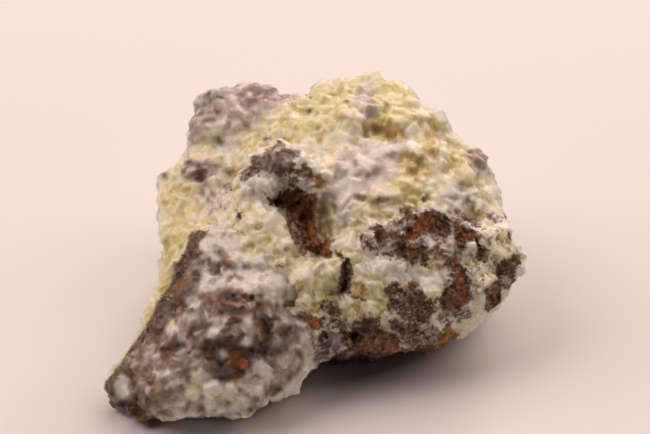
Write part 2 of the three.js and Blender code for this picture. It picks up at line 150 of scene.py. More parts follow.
# Patches on the stone: the kind, how much of it is covered, then how soft its rim is and its outline, both
# in pixels of the picture. A later patch lies over an earlier one.
PATCHES = {
    # yellow fluorite
    "top left yellow": ("yellow", 0.75, 10, [
        (304, 106), (318, 84), (336, 76), (350, 80), (352, 98), (340, 106), (322, 110)]),
    "top right yellow": ("yellow", 0.7, 10, [
        (380, 80), (400, 82), (424, 98), (430, 120), (412, 124), (390, 112)]),
    "top block": ("yellow", 1, 5, [(338, 104), (348, 103), (358, 118), (352, 126), (342, 120)]),
    "top band": ("yellow", 1, 4, [(300, 126), (316, 121), (332, 122), (332, 132), (316, 135), (301, 132)]),
    "right yellow": ("yellow", 1, 6, [
        (446, 152), (456, 150), (470, 166), (474, 182), (462, 180), (450, 170)]),
    "right upper yellow": ("yellow", 0.8, 6, [(430, 108), (438, 114), (446, 130), (438, 136), (430, 124)]),
    "under the plate": ("yellow", 0.9, 6, [
        (384, 186), (404, 178), (426, 192), (436, 206), (412, 208), (390, 204)]),
    "middle yellow": ("pale", 0.9, 6, [
        (246, 214), (264, 210), (284, 214), (290, 240), (270, 250), (250, 242)]),
    "low yellow": ("green", 1, 6, [(300, 266), (322, 268), (336, 276), (334, 292), (314, 294), (302, 282)]),
    "right cubes": ("green", 0.8, 5, [
        (480, 226), (500, 228), (512, 240), (510, 250), (492, 254), (482, 244)]),
    "right low cubes": ("green", 1, 6, [
        (468, 260), (482, 260), (498, 258), (500, 276), (496, 288), (484, 296), (474, 306), (468, 290)]),
    "flank yellow": ("yellow", 0.65, 12, [
        (158, 190), (178, 184), (192, 208), (190, 250), (176, 284), (160, 290), (156, 236)]),
    "flank upper yellow": ("yellow", 0.5, 9, [(196, 140), (214, 132), (220, 150), (206, 160), (190, 158)]),
    "dome yellow": ("yellow", 0.6, 9, [
        (240, 138), (262, 128), (280, 132), (262, 146), (246, 160), (236, 160)]),
    "above the face yellow": ("yellow", 0.7, 7, [
        (350, 206), (372, 204), (396, 212), (388, 222), (366, 224), (352, 218)]),
    # white and milky fluorite
    "plate": ("plate", 1, 5, [
        (350, 148), (362, 142), (400, 140), (418, 139), (414, 144), (404, 150), (398, 160), (398, 174),
        (390, 182), (376, 188), (366, 192), (352, 198), (346, 214), (338, 226), (334, 206), (322, 196),
        (322, 188), (332, 182), (330, 174), (336, 162), (344, 154)]),
    "top glass": ("mauve", 1, 5, [
        (352, 96), (362, 89), (372, 96), (380, 106), (379, 114), (370, 120), (361, 118), (356, 108)]),
    "top milk": ("milky", 0.8, 5, [(356, 80), (368, 78), (374, 90), (366, 96), (356, 92)]),
    "hollow crystal": ("white", 0.9, 2, [(367, 141), (369, 134), (374, 133), (377, 139), (374, 142)]),
    "ledge crystal": ("milky", 0.9, 4, [(402, 128), (410, 125), (418, 131), (415, 138), (404, 138)]),
    "saddle white": ("milky", 1, 7, [
        (200, 262), (206, 230), (224, 218), (236, 236), (252, 258), (284, 274), (298, 296), (280, 302),
        (256, 292), (232, 292), (212, 300), (198, 296)]),
    "crest white": ("white", 0.8, 6, [
        (240, 180), (254, 174), (284, 178), (284, 190), (262, 198), (242, 204)]),
    "flank milk": ("mauve", 0.8, 7, [
        (204, 162), (226, 160), (232, 180), (224, 208), (208, 216), (204, 190)]),
    "face milk": ("white", 0.8, 5, [
        (352, 246), (372, 238), (392, 250), (414, 266), (436, 276), (438, 290), (424, 288), (402, 282),
        (384, 280), (368, 268)]),
    "rim milk": ("milky", 0.8, 4, [(430, 314), (442, 316), (456, 322), (450, 332), (436, 336), (428, 328)]),
    # the nose's foot, the tip and the nose's face
    # Painted shade: the nose's foot is laid in a darker lilac mix, partly for the shade on the low front of
    # the nose.
    "nose foot": ("lilac", 0.85, 7, [
        (236, 374), (252, 364), (268, 364), (274, 374), (268, 388), (262, 402), (244, 414), (226, 420),
        (210, 418), (196, 410), (214, 402), (232, 402), (240, 388)]),
    "nose foot right": ("lilac", 1, 7, [
        (268, 354), (290, 346), (304, 352), (304, 368), (286, 382), (270, 376)]),
    "nose foot left": ("mauve", 1, 6, [
        (150, 396), (176, 394), (206, 406), (196, 424), (170, 432), (152, 424)]),
    "tip": ("nose", 0.95, 6, [
        (106, 392), (116, 372), (136, 352), (152, 344), (178, 352), (192, 366), (190, 384), (176, 400),
        (152, 416), (124, 412), (108, 402)]),
    "tip cream": ("white", 1, 3, [
        (112, 382), (118, 374), (128, 374), (129, 386), (128, 396), (120, 400), (114, 394)]),
    "tip green": ("milky", 0.7, 5, [(152, 366), (166, 362), (174, 374), (168, 390), (154, 388)]),
    "nose green": ("pale", 0.55, 6, [
        (190, 366), (204, 364), (214, 378), (232, 384), (238, 394), (226, 402), (206, 398), (192, 386)]),
    "nose face": ("nose", 1, 7, [
        (160, 350), (176, 318), (204, 296), (240, 290), (276, 300), (296, 312), (302, 340), (272, 364),
        (240, 378), (206, 372), (180, 366)]),
    # grains, hollows and crystals of other tints
    # Painted shade: the low granules are laid in the same darker lilac mix, partly for the shade they lie
    # in.
    "low granules": ("lilac", 1, 5, [
        (316, 334), (342, 330), (348, 342), (342, 352), (334, 360), (326, 368), (312, 364)]),
    # Painted shade: the hollow above the ledge is laid in ochre, with olive in its deepest part. This is
    # partly its own tint and partly the shade in the hollow.
    "top hollow": ("ochre", 1, 3, [
        (362, 124), (374, 118), (390, 119), (398, 124), (404, 132), (406, 140), (392, 140), (384, 142),
        (376, 137), (366, 138), (361, 141)]),
    "top hollow dark": ("olive", 0.8, 3, [
        (361, 140), (363, 130), (371, 123), (380, 126), (384, 135), (376, 138), (366, 139)]),
    "right block": ("ochre", 0.85, 5, [
        (398, 152), (412, 150), (426, 158), (430, 174), (420, 182), (406, 178), (398, 166)]),
    "ledge block": ("ochre", 0.8, 4, [
        (424, 134), (432, 128), (438, 136), (435, 150), (428, 157), (422, 149)]),
    "crevice yellow": ("pale", 1, 4, [(352, 266), (364, 268), (370, 284), (364, 288), (354, 280)]),
    "crevice olive": ("ochre", 0.9, 3, [
        (352, 284), (358, 278), (366, 284), (368, 296), (362, 300), (354, 298)]),
    "crevice olive low": ("ochre", 0.9, 3, [(351, 302), (358, 303), (365, 313), (364, 318), (355, 315)]),
    "under the plate olive": ("olive", 0.9, 2.5, [
        (356, 195), (364, 194), (376, 197), (388, 195), (391, 200), (380, 204), (366, 203), (358, 200)]),
    "above the face": ("olive", 0.9, 3, [
        (396, 211), (404, 205), (416, 206), (422, 209), (412, 214), (402, 214)]),
    "pocket wall": ("olive", 1, 3, [
        (316, 206), (320, 198), (334, 197), (339, 206), (333, 222), (333, 240), (324, 242), (318, 230),
        (315, 216)]),
    "pocket wall top": ("dust", 0.7, 4, [(318, 192), (334, 191), (340, 200), (334, 204), (322, 200)]),
    "glass grey": ("grey", 0.7, 3, [(286, 175), (298, 174), (301, 185), (294, 190), (287, 189)]),
    # the grey peaks at the upper left
    "peaks": ("mauve", 1, 8, [
        (187, 146), (189, 104), (206, 91), (228, 85), (246, 86), (262, 80), (290, 84), (300, 98),
        (280, 104), (262, 112), (250, 126), (236, 134), (222, 128), (206, 134), (196, 148)]),
    "upper left cream": ("white", 1, 6, [(204, 136), (222, 130), (240, 134), (236, 150), (214, 152)]),
    "left peak": ("dust", 0.65, 6, [
        (190, 122), (192, 104), (208, 94), (224, 88), (236, 92), (226, 104), (212, 112), (204, 128),
        (196, 138), (189, 132)]),
    "left peak foot": ("mauve", 0.9, 7, [(188, 134), (200, 126), (206, 132), (200, 144), (189, 148)]),
    "middle peak": ("dust", 0.6, 6, [
        (244, 100), (250, 90), (262, 84), (276, 82), (290, 90), (288, 98), (270, 102), (260, 116),
        (252, 118), (246, 110)]),
    "left peak shade": ("grey", 0.7, 4, [
        (192, 116), (196, 108), (203, 110), (205, 118), (200, 123), (194, 122)]),
    "left peak cap": ("grey", 0.7, 4, [
        (200, 102), (212, 94), (224, 89), (226, 94), (214, 102), (204, 106)]),
    "middle peak shade": ("grey", 0.7, 3, [(247, 100), (252, 95), (258, 97), (256, 103), (250, 105)]),
    "middle peak low": ("grey", 0.7, 3, [(252, 112), (258, 107), (263, 111), (260, 118), (254, 118)]),
    "middle peak cap": ("grey", 0.7, 4, [(256, 92), (264, 85), (276, 86), (274, 92), (262, 96)]),
    # greys of the right shoulder, the plate and the saddle
    "shoulder": ("dust", 0.85, 5, [
        (464, 152), (472, 145), (480, 146), (487, 156), (489, 174), (480, 170), (470, 168)]),
    "right of the plate": ("mauve", 0.6, 6, [(448, 184), (462, 182), (472, 196), (464, 206), (450, 200)]),
    "saddle specks": ("slate", 0.6, 5, [
        (206, 252), (222, 246), (232, 262), (238, 272), (230, 282), (216, 280), (206, 268)]),
    # the thin haze that joins the fields of crust
    "face haze": ("haze", 0.75, 6, [
        (362, 236), (372, 228), (384, 224), (402, 212), (420, 208), (446, 212), (462, 220), (474, 232),
        (486, 250), (484, 264), (474, 266), (472, 300), (466, 322), (446, 322), (434, 318), (430, 300),
        (440, 290), (444, 272), (428, 268), (404, 264), (376, 254), (362, 246)]),
    "shelf haze": ("haze", 0.85, 4, [
        (386, 316), (410, 324), (430, 322), (444, 334), (444, 346), (420, 352), (396, 342)]),
    "right top haze": ("haze", 0.5, 3, [
        (466, 196), (474, 200), (486, 206), (502, 216), (504, 224), (494, 224), (480, 214), (466, 208)]),
    "face top haze": ("haze", 0.7, 4, [
        (446, 212), (458, 208), (476, 218), (484, 228), (470, 228), (456, 220)]),
    # the crest
    "crest crust": ("crust", 1, 2, [
        (241, 173), (247, 166), (251, 165), (251, 159), (257, 154), (263, 156), (264, 150), (272, 146),
        (277, 144), (279, 139), (283, 141), (286, 148), (294, 149), (301, 151), (299, 156), (292, 159),
        (295, 164), (292, 170), (288, 177), (280, 177), (270, 173), (260, 172), (253, 176), (246, 181),
        (240, 180)]),
    "crest smooth": ("dust", 0.85, 2.5, [
        (257, 161), (268, 148), (284, 146), (294, 152), (288, 166), (270, 168)]),
    "crest specks": ("speckle", 0.35, 4, [
        (244, 174), (262, 166), (286, 169), (284, 178), (268, 177), (250, 180)]),
    "crest band": ("brown", 1, 1.5, [
        (286, 169), (294, 167), (300, 170), (302, 164), (306, 163), (311, 170), (315, 177), (314, 183),
        (308, 179), (301, 178), (296, 174), (288, 174)]),
    "crest amber": ("amber", 1, 1.5, [
        (315, 177), (320, 173), (323, 181), (327, 187), (320, 189), (314, 186)]),
    # the pocket
    "pocket": ("brown", 1, 1.2, [
        (263, 191), (267, 196), (272, 199), (277, 197), (279, 191), (283, 193), (288, 188), (292, 190),
        (296, 186), (303, 190), (309, 193), (317, 192), (318, 200), (315, 208), (315, 222), (318, 236),
        (322, 242), (327, 240), (332, 241), (334, 249), (331, 258), (326, 258), (318, 256), (311, 252),
        (308, 251), (305, 257), (301, 254), (296, 246), (291, 238), (288, 228), (286, 219), (286, 210),
        (279, 208), (274, 205), (269, 206), (268, 200)]),
    # Painted shade: the pocket's roof faces down into the pocket and is laid half over in near black.
    "pocket roof": ("dark", 0.5, 2, [
        (287, 194), (292, 190), (298, 188), (308, 193), (317, 194), (316, 207), (311, 210), (303, 204),
        (296, 201), (288, 200)]),
    "pocket grains": ("speckle", 0.65, 2, [
        (287, 210), (296, 209), (300, 222), (304, 234), (306, 246), (304, 254), (298, 246), (292, 236),
        (289, 224)]),
    "pocket ear rust": ("rust", 0.9, 1.5, [(267, 197), (271, 199), (274, 205), (269, 206)]),
    "pocket rust": ("rust", 1, 2, [
        (292, 203), (302, 205), (309, 212), (313, 224), (318, 236), (319, 247), (312, 250), (307, 240),
        (302, 226), (298, 213)]),
    "pocket orange": ("orange", 0.8, 2, [
        (308, 220), (313, 223), (318, 236), (317, 243), (312, 240), (309, 231)]),
    "pocket foot": ("orange", 1, 1.5, [
        (318, 246), (323, 244), (328, 240), (333, 242), (333, 249), (328, 254), (320, 253)]),
    "pocket streak": ("white", 1, 1, [(299, 223), (303, 221), (307, 222), (304, 225), (300, 225)]),
    "pocket tail": ("rust", 0.9, 1.5, [(332, 251), (338, 252), (344, 255), (342, 259), (336, 256)]),
    "roof crystal": ("white", 1, 1.5, [
        (301, 179), (309, 177), (313, 184), (310, 191), (304, 191), (300, 185)]),
    # the crevice
    "crevice": ("bark", 1, 1.5, [
        (341, 264), (347, 259), (352, 264), (353, 274), (350, 280), (351, 290), (352, 297), (346, 300),
        (339, 299), (336, 292), (338, 284), (341, 274)]),
    "crevice dark": ("brown", 0.85, 1.5, [
        (341, 283), (348, 278), (350, 284), (346, 290), (341, 296), (338, 292)]),
    "crevice crystal": ("white", 0.9, 1.5, [
        (341, 298), (345, 294), (350, 294), (352, 298), (346, 301), (341, 301)]),
    "crevice edge": ("brown", 0.8, 1.5, [(350, 290), (355, 296), (366, 299), (366, 302), (354, 300)]),
    # the brown face
    "face left": ("brown", 1, 2.5, [
        (370, 240), (374, 234), (372, 228), (377, 223), (382, 226), (386, 232), (394, 234), (404, 232),
        (408, 236), (404, 241), (396, 241), (388, 238), (378, 241)]),
    "face left low": ("brown", 0.95, 3, [
        (393, 250), (396, 243), (404, 241), (411, 241), (420, 246), (420, 256), (416, 264), (409, 263),
        (402, 257), (396, 252)]),
    "face top": ("brown", 1, 2, [
        (404, 212), (411, 212), (418, 216), (424, 211), (431, 209), (439, 211), (447, 216), (448, 224),
        (452, 231), (451, 237), (443, 238), (436, 234), (427, 232), (420, 238), (412, 241), (402, 240),
        (406, 232), (407, 222)]),
    "face top dark": ("dark", 0.6, 3, [
        (406, 213), (418, 217), (430, 210), (446, 218), (448, 232), (440, 234), (432, 224), (422, 219),
        (410, 218)]),
    "face rust": ("orange", 0.85, 2.5, [
        (402, 238), (408, 232), (416, 226), (420, 219), (427, 218), (431, 224), (426, 231), (418, 236),
        (412, 241), (404, 241)]),
    "face rust dark": ("rust", 0.8, 2.5, [(422, 216), (430, 214), (438, 220), (434, 228), (428, 224)]),
    "face grey": ("dust", 1, 2, [(407, 221), (411, 218), (415, 222), (413, 227), (408, 226)]),
    "face streak": ("milky", 0.95, 2, [
        (421, 235), (428, 236), (436, 242), (436, 248), (430, 249), (424, 244)]),
    "face link": ("brown", 1, 2, [
        (420, 244), (425, 246), (429, 251), (436, 249), (440, 245), (441, 250), (434, 253), (428, 262),
        (426, 266), (421, 262), (422, 254)]),
    "face link rust": ("orange", 0.9, 1.5, [(434, 245), (440, 243), (440, 249), (435, 251)]),
    "face grain": ("olive", 0.8, 2.5, [
        (429, 253), (436, 250), (444, 256), (445, 264), (440, 270), (431, 267), (427, 260)]),
    "face grain right": ("mauve", 0.95, 3, [
        (440, 241), (452, 236), (458, 244), (460, 255), (450, 258), (442, 252)]),
    "face right": ("brown", 1, 2.5, [
        (452, 226), (456, 219), (463, 224), (466, 229), (472, 227), (478, 232), (482, 240), (484, 246),
        (489, 250), (490, 257), (486, 265), (479, 265), (474, 257), (468, 252), (461, 252), (457, 248),
        (455, 240)]),
    "face right dark": ("dark", 0.6, 3, [
        (457, 226), (466, 232), (476, 236), (482, 250), (482, 260), (474, 250), (462, 244)]),
    "face right rust": ("rust", 1, 2, [(461, 236), (468, 234), (474, 238), (471, 243), (463, 242)]),
    "grey green grain": ("green", 1, 3, [
        (461, 252), (470, 250), (476, 256), (478, 264), (470, 272), (463, 262)]),
    "face crust": ("speckle", 0.85, 4, [
        (444, 256), (456, 256), (466, 268), (470, 290), (468, 306), (452, 314), (440, 312), (438, 298),
        (446, 284), (448, 268)]),
    "column": ("brown", 0.9, 2.5, [
        (451, 262), (456, 256), (459, 262), (466, 268), (467, 276), (466, 284), (471, 292), (471, 299),
        (467, 305), (458, 308), (450, 312), (445, 306), (443, 296), (444, 288), (451, 284), (456, 278),
        (452, 270)]),
    "column rust": ("rust", 0.7, 2, [
        (454, 266), (459, 268), (463, 280), (466, 292), (461, 300), (456, 292), (456, 278)]),
    "column foot": ("grey", 0.9, 2.5, [
        (455, 312), (464, 306), (472, 310), (473, 317), (462, 321), (453, 318)]),
    # the speckled patch and the right edge
    "speckled patch": ("speckle", 1, 3, [
        (383, 290), (390, 283), (396, 282), (400, 287), (406, 287), (411, 280), (416, 281), (418, 287),
        (424, 291), (427, 299), (434, 302), (436, 307), (434, 315), (429, 321), (425, 325), (418, 323),
        (410, 323), (404, 321), (398, 313), (391, 313), (387, 308), (389, 300), (386, 295)]),
    "speckled core": ("bark", 0.5, 3, [
        (390, 288), (404, 290), (414, 286), (424, 296), (430, 306), (424, 318), (410, 318), (398, 308),
        (391, 302)]),
    "speckled white": ("white", 0.2, 3, [
        (384, 286), (418, 286), (436, 306), (420, 330), (408, 344), (390, 312)]),
    "speckled patch low": ("speckle", 0.95, 3, [
        (392, 320), (404, 325), (417, 322), (420, 331), (420, 337), (424, 345), (412, 349), (404, 345),
        (397, 338), (394, 330)]),
    "right edge": ("brown", 1, 2, [
        (497, 264), (500, 257), (509, 260), (513, 254), (520, 254), (521, 264), (515, 270), (516, 284),
        (508, 290), (500, 287), (496, 276)]),
    "right edge mauve": ("dust", 0.9, 1.5, [(503, 277), (510, 275), (512, 282), (507, 286), (503, 283)]),
    "right edge low": ("brown", 1, 2, [
        (484, 288), (491, 283), (500, 279), (501, 288), (501, 302), (494, 308), (489, 313), (484, 310),
        (486, 300)]),
    "right edge rust": ("amber", 0.9, 1.5, [(491, 293), (497, 290), (499, 298), (493, 300)]),
    "right edge shade": ("green", 0.9, 3, [(486, 256), (496, 253), (502, 258), (500, 264), (490, 263)]),
    # the shelf and the rim below it
    # Painted shade: the strip under the shelf lies in the overhang's shadow and is laid in dark bark.
    "shelf under": ("bark", 1, 2, [
        (340, 350), (352, 346), (400, 350), (438, 350), (450, 342), (452, 350), (436, 362), (400, 372),
        (350, 376), (336, 370)]),
    "shelf": ("brown", 1, 2.5, [
        (331, 322), (340, 319), (350, 322), (360, 320), (372, 317), (379, 318), (380, 328), (386, 332),
        (395, 332), (401, 341), (401, 350), (390, 353), (376, 353), (362, 353), (352, 347), (343, 347),
        (344, 338), (340, 330), (332, 328)]),
    "shelf rust": ("shelf", 1, 3, [
        (364, 334), (376, 330), (390, 336), (400, 344), (398, 351), (380, 352), (366, 350), (360, 343)]),
    # Painted shade: the hole in the shelf is laid near black, as well as being dented deeper.
    "shelf hole": ("dark", 1, 1.5, [
        (350, 334), (355, 330), (362, 331), (366, 337), (362, 343), (352, 342)]),
    # Painted shade: the low crystals at the foot, in the shadow under the overhang, are laid near black.
    "low crystals": ("dark", 0.9, 1.5, [
        (329, 360), (336, 354), (345, 351), (347, 358), (339, 362), (334, 367)]),
    "rim rust": ("brown", 0.9, 3, [
        (398, 344), (412, 350), (426, 344), (440, 342), (438, 352), (420, 357), (400, 355)]),
    "rim amber": ("amber", 0.95, 2.5, [
        (437, 346), (441, 337), (442, 329), (449, 323), (452, 330), (458, 335), (457, 339), (450, 344),
        (445, 351), (437, 352)]),
    "crevice foot": ("speckle", 0.7, 2.5, [
        (316, 302), (322, 299), (332, 301), (338, 305), (343, 312), (339, 317), (330, 317), (321, 309)]),
    "crevice foot low": ("haze", 0.7, 3, [
        (322, 312), (334, 318), (346, 318), (354, 322), (350, 330), (338, 330), (328, 324)]),
    # the nose
    "nose line": ("brown", 0.95, 2.5, [
        (286, 310), (294, 308), (304, 312), (314, 316), (323, 318), (323, 328), (314, 331), (306, 325),
        (296, 319)]),
    "nose line rust": ("orange", 0.9, 2, [(312, 316), (319, 317), (322, 324), (317, 329), (312, 323)]),
    # Painted shade: the foot of the line lies on the nose's shaded right side and is laid near black.
    "nose line foot": ("dark", 0.85, 2, [
        (320, 331), (327, 329), (330, 338), (326, 347), (321, 350), (318, 341)]),
    "plate rim": ("brown", 0.7, 1.5, [
        (304, 320), (308, 321), (312, 332), (316, 344), (319, 354), (315, 354), (310, 343), (306, 330)]),
    "plate crystal": ("mauve", 1, 2, [
        (296, 326), (302, 321), (308, 331), (312, 342), (314, 354), (307, 356), (301, 346), (297, 336)]),
    "nose haze": ("haze", 0.9, 6, [
        (162, 350), (168, 330), (184, 306), (200, 294), (224, 286), (250, 292), (274, 300), (296, 310),
        (304, 330), (296, 344), (276, 352), (264, 366), (242, 372), (214, 378), (200, 370), (180, 364)]),
    "nose top": ("crust", 0.9, 4, [
        (203, 311), (208, 301), (216, 293), (226, 289), (236, 291), (242, 300), (241, 310), (236, 317),
        (228, 312), (220, 308), (214, 319), (208, 318)]),
    "nose bar": ("brown", 0.95, 4, [
        (254, 312), (262, 305), (270, 309), (274, 318), (274, 332), (270, 345), (262, 346), (260, 334),
        (256, 322)]),
    "nose bar dark": ("dark", 0.8, 4, [(259, 314), (266, 308), (271, 318), (270, 332), (263, 330)]),
    "nose pit right": ("crust", 1, 3.5, [
        (281, 330), (287, 324), (295, 324), (299, 331), (293, 339), (284, 340)]),
    "nose middle": ("crust", 0.9, 4, [(224, 326), (233, 322), (240, 326), (237, 334), (228, 334)]),
    "nose west": ("crust", 0.9, 4, [(200, 332), (208, 327), (214, 333), (211, 342), (202, 342)]),
    "nose pit": ("bark", 0.95, 5, [
        (201, 342), (214, 336), (232, 337), (246, 335), (253, 341), (258, 350), (268, 347), (273, 356),
        (262, 363), (250, 363), (244, 373), (240, 383), (230, 381), (220, 382), (211, 376), (204, 366),
        (206, 356), (199, 350)]),
    # Painted shade: the deepest part of the nose pit is laid near black over its crust.
    "nose pit dark": ("dark", 0.8, 4, [
        (212, 342), (234, 342), (250, 348), (264, 356), (248, 360), (236, 350), (220, 350)]),
    "nose grains": ("grey", 0.9, 4, [(202, 358), (208, 354), (216, 358), (216, 368), (207, 370)]),
    "nose pale lump": ("mauve", 1, 2.5, [(218, 352), (223, 348), (228, 352), (227, 359), (220, 359)]),
    "nose pale lump right": ("mauve", 1, 2.5, [(241, 344), (245, 340), (249, 343), (248, 349), (242, 349)]),
    "nose rust": ("rust", 0.85, 3, [
        (228, 352), (240, 347), (249, 353), (246, 362), (238, 371), (229, 367)]),
    "nose drop": ("milky", 1, 3.5, [
        (207, 329), (216, 322), (224, 314), (230, 318), (222, 331), (212, 337)]),
    "nose drop right": ("mauve", 1, 3.5, [(243, 316), (251, 312), (255, 324), (252, 334), (244, 330)]),
    "nose lump upper": ("milky", 1, 4, [
        (184, 304), (190, 297), (198, 298), (200, 305), (194, 310), (186, 310)]),
    "nose lump left": ("mauve", 1, 3.5, [(166, 328), (171, 321), (178, 324), (178, 331), (170, 334)]),
    "nose lump low": ("milky", 0.9, 3.5, [(178, 336), (183, 330), (188, 334), (187, 340), (180, 341)]),
    "nose left rust": ("crust", 0.9, 3, [(190, 354), (194, 350), (198, 354), (196, 361), (191, 361)]),
    "rim dark": ("bark", 1, 2.5, [(264, 392), (270, 386), (281, 383), (283, 390), (276, 395), (266, 396)]),
    "rim brown": ("haze", 0.9, 2.5, [(240, 412), (252, 404), (266, 400), (264, 408), (248, 418)]),
    "foot dark": ("crust", 0.8, 3, [(196, 410), (202, 405), (207, 409), (203, 414), (197, 414)]),
    # the ridge and the tip
    "ridge grey": ("slate", 1, 4, [
        (196, 256), (205, 262), (203, 274), (199, 284), (198, 296), (190, 298), (184, 308), (176, 314),
        (170, 322), (168, 338), (160, 344), (144, 346), (150, 328), (156, 312), (164, 300), (176, 290),
        (188, 278)]),
    "ridge": ("bark", 1, 2, [
        (191, 233), (198, 230), (208, 231), (204, 237), (200, 242), (200, 248), (205, 253), (199, 257),
        (194, 262), (189, 270), (186, 276), (180, 283), (176, 290), (170, 297), (164, 303), (160, 311),
        (156, 319), (150, 330), (140, 350), (130, 364), (116, 380), (106, 392), (104, 384), (118, 366),
        (130, 348), (142, 332), (150, 318), (156, 304), (162, 294), (170, 286), (173, 276), (177, 264),
        (183, 253), (187, 244)]),
    "ridge spots": ("crust", 0.9, 4, [
        (190, 268), (197, 266), (202, 273), (200, 284), (196, 298), (190, 292), (192, 280)]),
    "ridge low spots": ("crust", 0.9, 4, [(178, 326), (184, 320), (190, 324), (186, 331), (180, 331)]),
    "ridge last spots": ("crust", 0.9, 4, [(162, 336), (168, 331), (174, 336), (170, 343), (163, 342)]),
    "ridge rust": ("amber", 1, 1.5, [
        (175, 287), (179, 280), (186, 274), (189, 278), (183, 285), (178, 291)]),
    "tip upper specks": ("haze", 0.85, 4, [
        (124, 356), (146, 344), (176, 346), (192, 356), (184, 366), (152, 362), (130, 372)]),
    "tip spots": ("bark", 1, 3, [
        (129, 374), (134, 371), (137, 380), (136, 388), (143, 392), (149, 398), (145, 403), (135, 401),
        (129, 394), (131, 384)]),
    "tip spots dark": ("bark", 0.8, 3, [(129, 384), (136, 386), (148, 397), (146, 405), (134, 402)]),
    "tip edge": ("bark", 1, 2, [
        (104, 399), (120, 399), (131, 403), (143, 405), (145, 411), (152, 424), (138, 432), (118, 426),
        (102, 412)]),
    "tip edge right": ("bark", 0.9, 2, [(145, 415), (154, 415), (160, 421), (157, 426), (149, 425)]),
    "tip left": ("crust", 0.9, 2, [(105, 392), (109, 382), (114, 378), (112, 390), (115, 402), (109, 400)]),
    # single spots
    "ring": ("bark", 0.9, 3.5, [
        (181, 170), (184, 163), (190, 160), (198, 159), (203, 165), (208, 170), (209, 180), (203, 184),
        (197, 181), (190, 179), (183, 178)]),
    "ring middle": ("mauve", 1, 3, [
        (185, 168), (190, 164), (196, 167), (196, 174), (190, 177), (185, 174)]),
    "flank dot": ("bark", 1, 2, [(162, 175), (165, 172), (168, 175), (167, 180), (163, 179)]),
    "flank last dot": ("bark", 0.8, 2, [(178, 246), (181, 244), (183, 247), (180, 249)]),
    "flank faint dot": ("grey", 0.8, 2.5, [(197, 194), (200, 191), (204, 194), (201, 198)]),
    "peak foot dot": ("olive", 0.9, 2.5, [(217, 139), (222, 137), (224, 143), (219, 146)]),
    "face dot": ("brown", 1, 1.5, [(421, 200), (424, 194), (430, 194), (429, 199), (424, 202)]),
    "right dots": ("brown", 0.95, 1.5, [(503, 209), (508, 212), (510, 220), (505, 218)]),
    "right low dots": ("brown", 0.95, 1.5, [(507, 231), (510, 231), (511, 240), (508, 240)]),
    "square dot": ("brown", 1, 1, [(236, 212), (241, 212), (241, 218), (236, 218)]),
    "pocket dot": ("dark", 1, 1, [(284, 247), (288, 247), (287, 251), (284, 250)]),
    "crevice dot": ("dark", 1, 1, [(346, 258), (350, 257), (350, 262), (346, 262)]),
    "crest dot": ("rust", 0.9, 1.5, [(263, 138), (268, 136), (270, 139), (264, 141)]),
    "top dot": ("brown", 0.9, 1.5, [(307, 109), (311, 109), (311, 113), (307, 113)]),
    "top long dot": ("brown", 0.9, 1.5, [(343, 100), (351, 99), (352, 102), (344, 103)]),
    "small dot": ("dark", 0.9, 1, [(229, 187), (232, 187), (232, 190), (229, 190)]),
    "foot dot": ("brown", 0.9, 1, [(295, 255), (300, 255), (300, 258), (295, 258)]),
}

# Where the stone is calm, of broad low crystals rather than sugar: how calm, how soft the rim is, outline.
CALM = {
    "top": (0.8, 14, [
        (250, 150), (290, 116), (304, 96), (336, 72), (384, 68), (430, 92), (470, 130), (500, 160),
        (506, 210), (476, 216), (440, 204), (400, 206), (350, 206), (316, 190), (300, 150), (270, 140)]),
    "plate": (1, 6, [
        (338, 150), (362, 140), (420, 136), (404, 154), (400, 176), (368, 192), (350, 200), (340, 230),
        (318, 240), (316, 196), (330, 186)]),
    "flank": (0.85, 12, [
        (150, 170), (186, 120), (190, 90), (230, 78), (290, 78), (290, 116), (250, 150), (226, 190),
        (200, 226), (176, 262), (150, 320), (140, 320), (150, 240)]),
    "middle": (0.75, 6, [
        (246, 212), (282, 210), (288, 232), (300, 256), (338, 264), (338, 292), (302, 292), (284, 262),
        (248, 244)]),
    "ridge": (0.7, 6, [
        (186, 262), (206, 236), (238, 236), (300, 288), (290, 312), (240, 296), (204, 300), (160, 350),
        (140, 352)]),
    "nose": (0.75, 9, [
        (96, 404), (130, 350), (168, 300), (204, 288), (250, 286), (290, 304), (312, 330), (318, 370),
        (250, 430), (120, 430)]),
}

# Round spots in the same pixels: the kind, how soft the rim is, then across, down and half width of each.
SPOTS = {
    "nose dark": ("bark", 4, [
        (230, 303, 12), (262, 320, 10), (287, 331, 8), (178, 306, 8), (226, 333, 7), (160, 322, 6),
        (206, 347, 7), (258, 351, 8), (172, 346, 6), (197, 274, 5), (244, 306, 5), (300, 318, 5)]),
    # Painted shade: near-black spots in the deepest part of the nose pit.
    "nose pit": ("dark", 4, [(222, 345, 7), (247, 354, 8), (262, 352, 6), (238, 370, 6), (268, 322, 5)]),
    "nose rust": ("rust", 3, [(238, 359, 6), (243, 364, 4)]),
    "nose pale": ("mauve", 3, [
        (197, 338, 3), (282, 312, 4), (303, 334, 5), (249, 339, 3), (275, 300, 4), (182, 318, 3),
        (277, 344, 4), (155, 356, 5), (250, 322, 4)]),
    "nose bright": ("milky", 3, [
        (219, 324, 6), (211, 333, 5), (194, 303, 7), (171, 330, 6), (224, 353, 3), (304, 338, 6),
        (248, 343, 4), (182, 338, 4)]),
    "nose foot": ("milky", 4, [(262, 367, 8), (254, 388, 9), (234, 408, 6), (244, 402, 7), (268, 378, 6)]),
}

